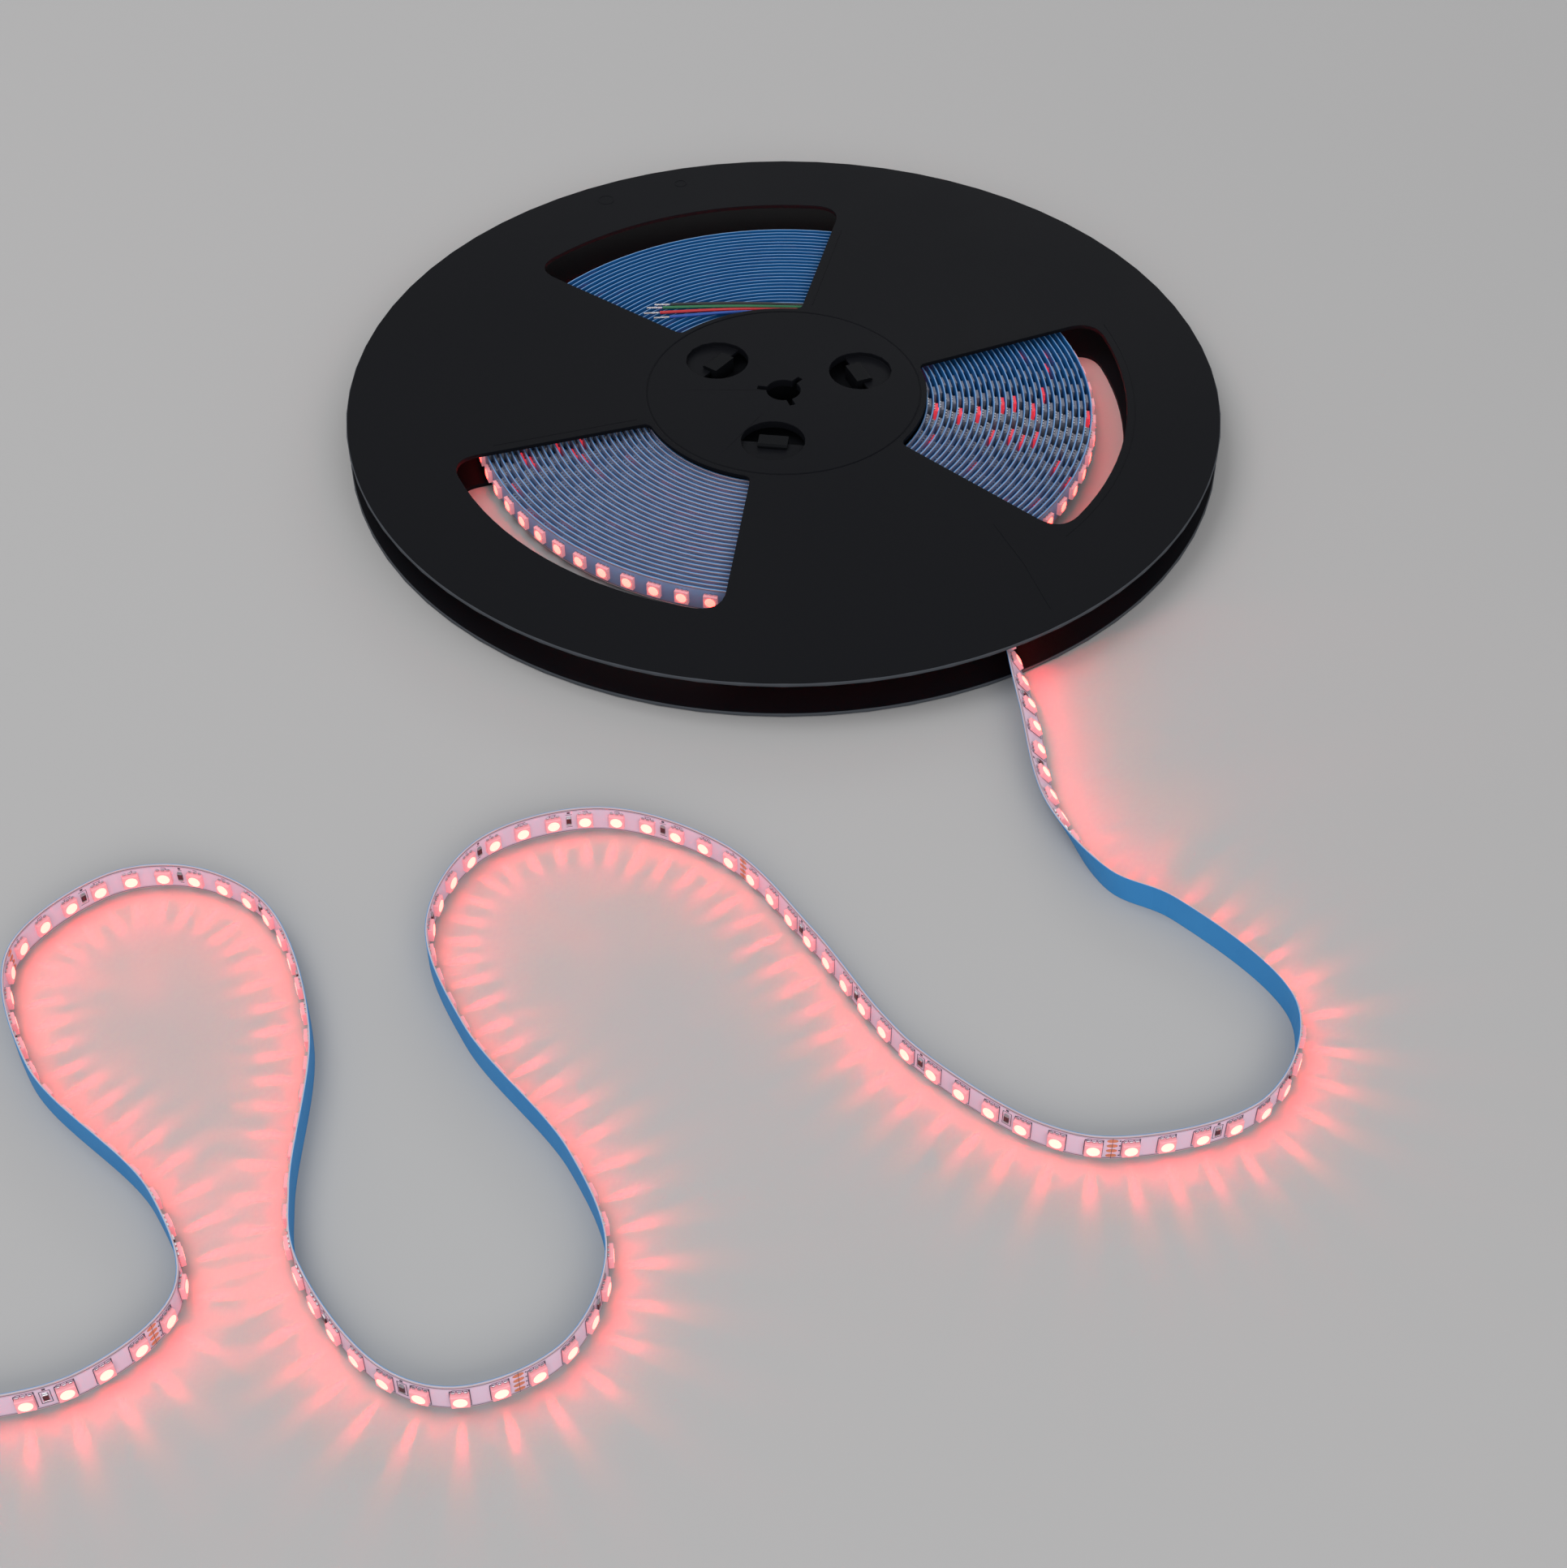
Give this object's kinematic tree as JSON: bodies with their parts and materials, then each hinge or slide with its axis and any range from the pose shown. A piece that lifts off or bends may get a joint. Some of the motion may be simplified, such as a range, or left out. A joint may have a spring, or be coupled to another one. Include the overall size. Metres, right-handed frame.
{
  "type": "led strip light reel",
  "caption": "Flanged plastic reel of colour LED strip light, with windows in its flanges, an arbor hole and a length of lit strip run out in curves.",
  "frame": {"origin": "centre of the reel's underside, on its axis, where it rests on the surface", "axes": "+Z along the reel's axis from the rear flange to the front one; the free strip runs off towards -Y"},
  "size_m": [0.4769, 0.6253, 0.0152],
  "materials": {
    "reel_plastic": "matte black injection moulded plastic",
    "hub_plastic": "matte black injection moulded plastic",
    "strip_edges": "edges of a white circuit strip with a blue liner",
    "strip_face": "white solder mask, lit pink by its own lamps",
    "lead_black": "black wire insulation",
    "lead_green": "green wire insulation",
    "lead_red": "red wire insulation",
    "lead_blue": "blue wire insulation",
    "tinned_copper": "tinned stranded copper"
  },
  "bodies": {
    "root": {"rear_flange": "reel_plastic", "front_flange": "reel_plastic", "hub": "hub_plastic", "wound_strip": "strip_edges", "free_strip": "strip_face", "lead_black": "lead_black", "lead_green": "lead_green", "lead_red": "lead_red", "lead_blue": "lead_blue", "tinned_end_black": "tinned_copper", "tinned_end_green": "tinned_copper", "tinned_end_red": "tinned_copper", "tinned_end_blue": "tinned_copper"}
  },
  "joints": []
}
